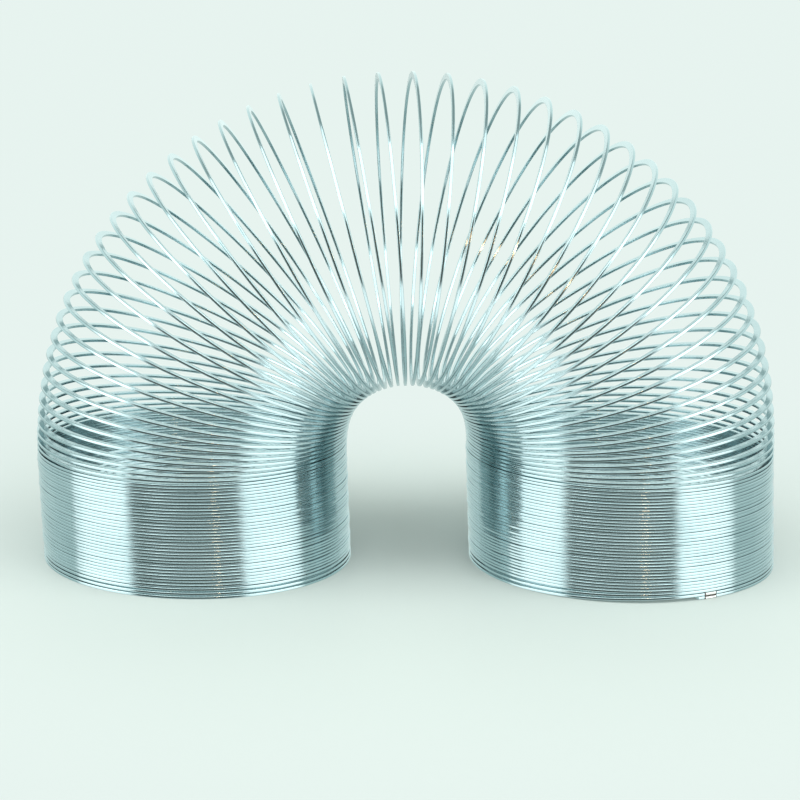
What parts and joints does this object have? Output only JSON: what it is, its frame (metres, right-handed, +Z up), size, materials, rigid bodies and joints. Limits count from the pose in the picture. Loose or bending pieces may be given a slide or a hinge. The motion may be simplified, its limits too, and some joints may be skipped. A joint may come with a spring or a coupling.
{
  "type": "spring coil toy",
  "caption": "Flat-wire metal spring coil toy bent over into a standing arch, closed and solid in both legs and fanned open round the top, with a small crimp on each wire end.",
  "frame": {"origin": "centre of the footprint, on the surface that both feet stand on", "axes": "+Z up, X from the left foot to the right foot along the arch, +Y towards the back"},
  "size_m": [0.166, 0.069, 0.1093],
  "materials": {
    "wire": "bright, polished flat wire",
    "crimp": "bright folded sheet"
  },
  "bodies": {
    "left_leg": {"left_leg": "wire", "left_crimp": "crimp"},
    "turn_01": {"turn_01": "wire"},
    "turn_02": {"turn_02": "wire"},
    "turn_03": {"turn_03": "wire"},
    "turn_04": {"turn_04": "wire"},
    "turn_05": {"turn_05": "wire"},
    "turn_06": {"turn_06": "wire"},
    "turn_07": {"turn_07": "wire"},
    "turn_08": {"turn_08": "wire"},
    "turn_09": {"turn_09": "wire"},
    "turn_10": {"turn_10": "wire"},
    "turn_11": {"turn_11": "wire"},
    "turn_12": {"turn_12": "wire"},
    "turn_13": {"turn_13": "wire"},
    "turn_14": {"turn_14": "wire"},
    "turn_15": {"turn_15": "wire"},
    "turn_16": {"turn_16": "wire"},
    "turn_17": {"turn_17": "wire"},
    "turn_18": {"turn_18": "wire"},
    "turn_19": {"turn_19": "wire"},
    "turn_20": {"turn_20": "wire"},
    "turn_21": {"turn_21": "wire"},
    "turn_22": {"turn_22": "wire"},
    "turn_23": {"turn_23": "wire"},
    "turn_24": {"turn_24": "wire"},
    "turn_25": {"turn_25": "wire"},
    "turn_26": {"turn_26": "wire"},
    "turn_27": {"turn_27": "wire"},
    "turn_28": {"turn_28": "wire"},
    "turn_29": {"turn_29": "wire"},
    "turn_30": {"turn_30": "wire"},
    "turn_31": {"turn_31": "wire"},
    "turn_32": {"turn_32": "wire"},
    "turn_33": {"turn_33": "wire"},
    "turn_34": {"turn_34": "wire"},
    "turn_35": {"turn_35": "wire"},
    "turn_36": {"turn_36": "wire"},
    "turn_37": {"turn_37": "wire"},
    "turn_38": {"turn_38": "wire"},
    "turn_39": {"turn_39": "wire"},
    "turn_40": {"turn_40": "wire"},
    "turn_41": {"turn_41": "wire"},
    "turn_42": {"turn_42": "wire"},
    "turn_43": {"turn_43": "wire"},
    "turn_44": {"turn_44": "wire"},
    "turn_45": {"turn_45": "wire"},
    "turn_46": {"turn_46": "wire"},
    "turn_47": {"turn_47": "wire"},
    "turn_48": {"turn_48": "wire"},
    "turn_49": {"turn_49": "wire"},
    "turn_50": {"turn_50": "wire"},
    "turn_51": {"turn_51": "wire"},
    "turn_52": {"turn_52": "wire"},
    "turn_53": {"turn_53": "wire"},
    "right_leg": {"right_leg": "wire", "right_crimp": "crimp"}
  },
  "joints": [
    {"name": "hinge_01", "type": "hinge", "parent": "left_leg", "child": "turn_01", "pos_m": [-0.01472, 0, 0.02514], "axis": [0, -1, 0], "range_deg": [0, 0.2954]},
    {"name": "hinge_02", "type": "hinge", "parent": "turn_01", "child": "turn_02", "pos_m": [-0.01472, 0, 0.02583], "axis": [0, -1, 0], "range_deg": [0, 0.5879]},
    {"name": "hinge_03", "type": "hinge", "parent": "turn_02", "child": "turn_03", "pos_m": [-0.01471, 0, 0.02653], "axis": [0, -1, 0], "range_deg": [0, 0.8785]},
    {"name": "hinge_04", "type": "hinge", "parent": "turn_03", "child": "turn_04", "pos_m": [-0.01469, 0, 0.02723], "axis": [0, -1, 0], "range_deg": [0, 1.17]},
    {"name": "hinge_05", "type": "hinge", "parent": "turn_04", "child": "turn_05", "pos_m": [-0.01465, 0, 0.02794], "axis": [0, -1, 0], "range_deg": [0, 1.45]},
    {"name": "hinge_06", "type": "hinge", "parent": "turn_05", "child": "turn_06", "pos_m": [-0.01459, 0, 0.02865], "axis": [0, -1, 0], "range_deg": [0, 1.73]},
    {"name": "hinge_07", "type": "hinge", "parent": "turn_06", "child": "turn_07", "pos_m": [-0.01452, 0, 0.02936], "axis": [0, -1, 0], "range_deg": [0, 2]},
    {"name": "hinge_08", "type": "hinge", "parent": "turn_07", "child": "turn_08", "pos_m": [-0.01442, 0, 0.03007], "axis": [0, -1, 0], "range_deg": [0, 2.27]},
    {"name": "hinge_09", "type": "hinge", "parent": "turn_08", "child": "turn_09", "pos_m": [-0.01429, 0, 0.03078], "axis": [0, -1, 0], "range_deg": [0, 2.53]},
    {"name": "hinge_10", "type": "hinge", "parent": "turn_09", "child": "turn_10", "pos_m": [-0.01412, 0, 0.03148], "axis": [0, -1, 0], "range_deg": [0, 2.78]},
    {"name": "hinge_11", "type": "hinge", "parent": "turn_10", "child": "turn_11", "pos_m": [-0.01393, 0, 0.03219], "axis": [0, -1, 0], "range_deg": [0, 3.02]},
    {"name": "hinge_12", "type": "hinge", "parent": "turn_11", "child": "turn_12", "pos_m": [-0.01369, 0, 0.03288], "axis": [0, -1, 0], "range_deg": [0, 3.26]},
    {"name": "hinge_13", "type": "hinge", "parent": "turn_12", "child": "turn_13", "pos_m": [-0.01341, 0, 0.03357], "axis": [0, -1, 0], "range_deg": [0, 3.48]},
    {"name": "hinge_14", "type": "hinge", "parent": "turn_13", "child": "turn_14", "pos_m": [-0.01309, 0, 0.03424], "axis": [0, -1, 0], "range_deg": [0, 3.69]},
    {"name": "hinge_15", "type": "hinge", "parent": "turn_14", "child": "turn_15", "pos_m": [-0.01272, 0, 0.0349], "axis": [0, -1, 0], "range_deg": [0, 3.89]},
    {"name": "hinge_16", "type": "hinge", "parent": "turn_15", "child": "turn_16", "pos_m": [-0.0123, 0, 0.03556], "axis": [0, -1, 0], "range_deg": [0, 4.07]},
    {"name": "hinge_17", "type": "hinge", "parent": "turn_16", "child": "turn_17", "pos_m": [-0.01181, 0, 0.0362], "axis": [0, -1, 0], "range_deg": [0, 4.25]},
    {"name": "hinge_18", "type": "hinge", "parent": "turn_17", "child": "turn_18", "pos_m": [-0.01125, 0, 0.03683], "axis": [0, -1, 0], "range_deg": [0, 4.4]},
    {"name": "hinge_19", "type": "hinge", "parent": "turn_18", "child": "turn_19", "pos_m": [-0.01061, 0, 0.03746], "axis": [0, -1, 0], "range_deg": [0, 4.55]},
    {"name": "hinge_20", "type": "hinge", "parent": "turn_19", "child": "turn_20", "pos_m": [-0.00987, 0, 0.03807], "axis": [0, -1, 0], "range_deg": [0, 4.68]},
    {"name": "hinge_21", "type": "hinge", "parent": "turn_20", "child": "turn_21", "pos_m": [-0.00901, 0, 0.03867], "axis": [0, -1, 0], "range_deg": [0, 4.79]},
    {"name": "hinge_22", "type": "hinge", "parent": "turn_21", "child": "turn_22", "pos_m": [-0.00803, 0, 0.03924], "axis": [0, -1, 0], "range_deg": [0, 4.89]},
    {"name": "hinge_23", "type": "hinge", "parent": "turn_22", "child": "turn_23", "pos_m": [-0.00692, 0, 0.03977], "axis": [0, -1, 0], "range_deg": [0, 4.97]},
    {"name": "hinge_24", "type": "hinge", "parent": "turn_23", "child": "turn_24", "pos_m": [-0.00568, 0, 0.04023], "axis": [0, -1, 0], "range_deg": [0, 5.04]},
    {"name": "hinge_25", "type": "hinge", "parent": "turn_24", "child": "turn_25", "pos_m": [-0.00432, 0, 0.0406], "axis": [0, -1, 0], "range_deg": [0, 5.09]},
    {"name": "hinge_26", "type": "hinge", "parent": "turn_25", "child": "turn_26", "pos_m": [-0.00287, 0, 0.04086], "axis": [0, -1, 0], "range_deg": [0, 5.12]},
    {"name": "left_bend", "type": "hinge", "parent": "turn_26", "child": "turn_27", "pos_m": [-0.00136, 0, 0.041], "axis": [0, -1, 0], "range_deg": [0, 5.14]},
    {"name": "right_bend", "type": "hinge", "parent": "turn_27", "child": "turn_28", "pos_m": [0.00018, 0, 0.041], "axis": [0, -1, 0], "range_deg": [0, 5.14]},
    {"name": "hinge_29", "type": "hinge", "parent": "turn_28", "child": "turn_29", "pos_m": [0.00169, 0, 0.04086], "axis": [0, -1, 0], "range_deg": [0, 5.12]},
    {"name": "hinge_30", "type": "hinge", "parent": "turn_29", "child": "turn_30", "pos_m": [0.00315, 0, 0.0406], "axis": [0, -1, 0], "range_deg": [0, 5.09]},
    {"name": "hinge_31", "type": "hinge", "parent": "turn_30", "child": "turn_31", "pos_m": [0.00451, 0, 0.04023], "axis": [0, -1, 0], "range_deg": [0, 5.04]},
    {"name": "hinge_32", "type": "hinge", "parent": "turn_31", "child": "turn_32", "pos_m": [0.00575, 0, 0.03977], "axis": [0, -1, 0], "range_deg": [0, 4.97]},
    {"name": "hinge_33", "type": "hinge", "parent": "turn_32", "child": "turn_33", "pos_m": [0.00686, 0, 0.03924], "axis": [0, -1, 0], "range_deg": [0, 4.89]},
    {"name": "hinge_34", "type": "hinge", "parent": "turn_33", "child": "turn_34", "pos_m": [0.00784, 0, 0.03867], "axis": [0, -1, 0], "range_deg": [0, 4.79]},
    {"name": "hinge_35", "type": "hinge", "parent": "turn_34", "child": "turn_35", "pos_m": [0.00869, 0, 0.03807], "axis": [0, -1, 0], "range_deg": [0, 4.68]},
    {"name": "hinge_36", "type": "hinge", "parent": "turn_35", "child": "turn_36", "pos_m": [0.00943, 0, 0.03746], "axis": [0, -1, 0], "range_deg": [0, 4.55]},
    {"name": "hinge_37", "type": "hinge", "parent": "turn_36", "child": "turn_37", "pos_m": [0.01008, 0, 0.03683], "axis": [0, -1, 0], "range_deg": [0, 4.4]},
    {"name": "hinge_38", "type": "hinge", "parent": "turn_37", "child": "turn_38", "pos_m": [0.01063, 0, 0.0362], "axis": [0, -1, 0], "range_deg": [0, 4.25]},
    {"name": "hinge_39", "type": "hinge", "parent": "turn_38", "child": "turn_39", "pos_m": [0.01112, 0, 0.03556], "axis": [0, -1, 0], "range_deg": [0, 4.07]},
    {"name": "hinge_40", "type": "hinge", "parent": "turn_39", "child": "turn_40", "pos_m": [0.01154, 0, 0.0349], "axis": [0, -1, 0], "range_deg": [0, 3.89]},
    {"name": "hinge_41", "type": "hinge", "parent": "turn_40", "child": "turn_41", "pos_m": [0.01191, 0, 0.03424], "axis": [0, -1, 0], "range_deg": [0, 3.69]},
    {"name": "hinge_42", "type": "hinge", "parent": "turn_41", "child": "turn_42", "pos_m": [0.01224, 0, 0.03357], "axis": [0, -1, 0], "range_deg": [0, 3.48]},
    {"name": "hinge_43", "type": "hinge", "parent": "turn_42", "child": "turn_43", "pos_m": [0.01251, 0, 0.03288], "axis": [0, -1, 0], "range_deg": [0, 3.26]},
    {"name": "hinge_44", "type": "hinge", "parent": "turn_43", "child": "turn_44", "pos_m": [0.01275, 0, 0.03219], "axis": [0, -1, 0], "range_deg": [0, 3.02]},
    {"name": "hinge_45", "type": "hinge", "parent": "turn_44", "child": "turn_45", "pos_m": [0.01294, 0, 0.03148], "axis": [0, -1, 0], "range_deg": [0, 2.78]},
    {"name": "hinge_46", "type": "hinge", "parent": "turn_45", "child": "turn_46", "pos_m": [0.01311, 0, 0.03078], "axis": [0, -1, 0], "range_deg": [0, 2.53]},
    {"name": "hinge_47", "type": "hinge", "parent": "turn_46", "child": "turn_47", "pos_m": [0.01324, 0, 0.03007], "axis": [0, -1, 0], "range_deg": [0, 2.27]},
    {"name": "hinge_48", "type": "hinge", "parent": "turn_47", "child": "turn_48", "pos_m": [0.01334, 0, 0.02936], "axis": [0, -1, 0], "range_deg": [0, 2]},
    {"name": "hinge_49", "type": "hinge", "parent": "turn_48", "child": "turn_49", "pos_m": [0.01342, 0, 0.02865], "axis": [0, -1, 0], "range_deg": [0, 1.73]},
    {"name": "hinge_50", "type": "hinge", "parent": "turn_49", "child": "turn_50", "pos_m": [0.01347, 0, 0.02794], "axis": [0, -1, 0], "range_deg": [0, 1.45]},
    {"name": "hinge_51", "type": "hinge", "parent": "turn_50", "child": "turn_51", "pos_m": [0.01351, 0, 0.02723], "axis": [0, -1, 0], "range_deg": [0, 1.17]},
    {"name": "hinge_52", "type": "hinge", "parent": "turn_51", "child": "turn_52", "pos_m": [0.01353, 0, 0.02653], "axis": [0, -1, 0], "range_deg": [0, 0.8785]},
    {"name": "hinge_53", "type": "hinge", "parent": "turn_52", "child": "turn_53", "pos_m": [0.01354, 0, 0.02583], "axis": [0, -1, 0], "range_deg": [0, 0.5879]},
    {"name": "hinge_54", "type": "hinge", "parent": "turn_53", "child": "right_leg", "pos_m": [0.01354, 0, 0.02514], "axis": [0, -1, 0], "range_deg": [0, 0.2954]}
  ],
  "couplings": [
    {"joint": "hinge_01", "follows": "left_bend", "ratio": 0.057112},
    {"joint": "hinge_02", "follows": "left_bend", "ratio": 0.11404},
    {"joint": "hinge_03", "follows": "left_bend", "ratio": 0.17059},
    {"joint": "hinge_04", "follows": "left_bend", "ratio": 0.22659},
    {"joint": "hinge_05", "follows": "left_bend", "ratio": 0.28185},
    {"joint": "hinge_06", "follows": "left_bend", "ratio": 0.33619},
    {"joint": "hinge_07", "follows": "left_bend", "ratio": 0.38943},
    {"joint": "hinge_08", "follows": "left_bend", "ratio": 0.4414},
    {"joint": "hinge_09", "follows": "left_bend", "ratio": 0.49193},
    {"joint": "hinge_10", "follows": "left_bend", "ratio": 0.54086},
    {"joint": "hinge_11", "follows": "left_bend", "ratio": 0.58803},
    {"joint": "hinge_12", "follows": "left_bend", "ratio": 0.63327},
    {"joint": "hinge_13", "follows": "left_bend", "ratio": 0.67645},
    {"joint": "hinge_14", "follows": "left_bend", "ratio": 0.71742},
    {"joint": "hinge_15", "follows": "left_bend", "ratio": 0.75606},
    {"joint": "hinge_16", "follows": "left_bend", "ratio": 0.79222},
    {"joint": "hinge_17", "follows": "left_bend", "ratio": 0.82581},
    {"joint": "hinge_18", "follows": "left_bend", "ratio": 0.8567},
    {"joint": "hinge_19", "follows": "left_bend", "ratio": 0.88479},
    {"joint": "hinge_20", "follows": "left_bend", "ratio": 0.91},
    {"joint": "hinge_21", "follows": "left_bend", "ratio": 0.93224},
    {"joint": "hinge_22", "follows": "left_bend", "ratio": 0.95144},
    {"joint": "hinge_23", "follows": "left_bend", "ratio": 0.96754},
    {"joint": "hinge_24", "follows": "left_bend", "ratio": 0.98048},
    {"joint": "hinge_25", "follows": "left_bend", "ratio": 0.99023},
    {"joint": "hinge_26", "follows": "left_bend", "ratio": 0.99674},
    {"joint": "hinge_29", "follows": "right_bend", "ratio": 0.99674},
    {"joint": "hinge_30", "follows": "right_bend", "ratio": 0.99023},
    {"joint": "hinge_31", "follows": "right_bend", "ratio": 0.98048},
    {"joint": "hinge_32", "follows": "right_bend", "ratio": 0.96754},
    {"joint": "hinge_33", "follows": "right_bend", "ratio": 0.95144},
    {"joint": "hinge_34", "follows": "right_bend", "ratio": 0.93224},
    {"joint": "hinge_35", "follows": "right_bend", "ratio": 0.91},
    {"joint": "hinge_36", "follows": "right_bend", "ratio": 0.88479},
    {"joint": "hinge_37", "follows": "right_bend", "ratio": 0.8567},
    {"joint": "hinge_38", "follows": "right_bend", "ratio": 0.82581},
    {"joint": "hinge_39", "follows": "right_bend", "ratio": 0.79222},
    {"joint": "hinge_40", "follows": "right_bend", "ratio": 0.75606},
    {"joint": "hinge_41", "follows": "right_bend", "ratio": 0.71742},
    {"joint": "hinge_42", "follows": "right_bend", "ratio": 0.67645},
    {"joint": "hinge_43", "follows": "right_bend", "ratio": 0.63327},
    {"joint": "hinge_44", "follows": "right_bend", "ratio": 0.58803},
    {"joint": "hinge_45", "follows": "right_bend", "ratio": 0.54086},
    {"joint": "hinge_46", "follows": "right_bend", "ratio": 0.49193},
    {"joint": "hinge_47", "follows": "right_bend", "ratio": 0.4414},
    {"joint": "hinge_48", "follows": "right_bend", "ratio": 0.38943},
    {"joint": "hinge_49", "follows": "right_bend", "ratio": 0.33619},
    {"joint": "hinge_50", "follows": "right_bend", "ratio": 0.28185},
    {"joint": "hinge_51", "follows": "right_bend", "ratio": 0.22659},
    {"joint": "hinge_52", "follows": "right_bend", "ratio": 0.17059},
    {"joint": "hinge_53", "follows": "right_bend", "ratio": 0.11404},
    {"joint": "hinge_54", "follows": "right_bend", "ratio": 0.057112}
  ]
}
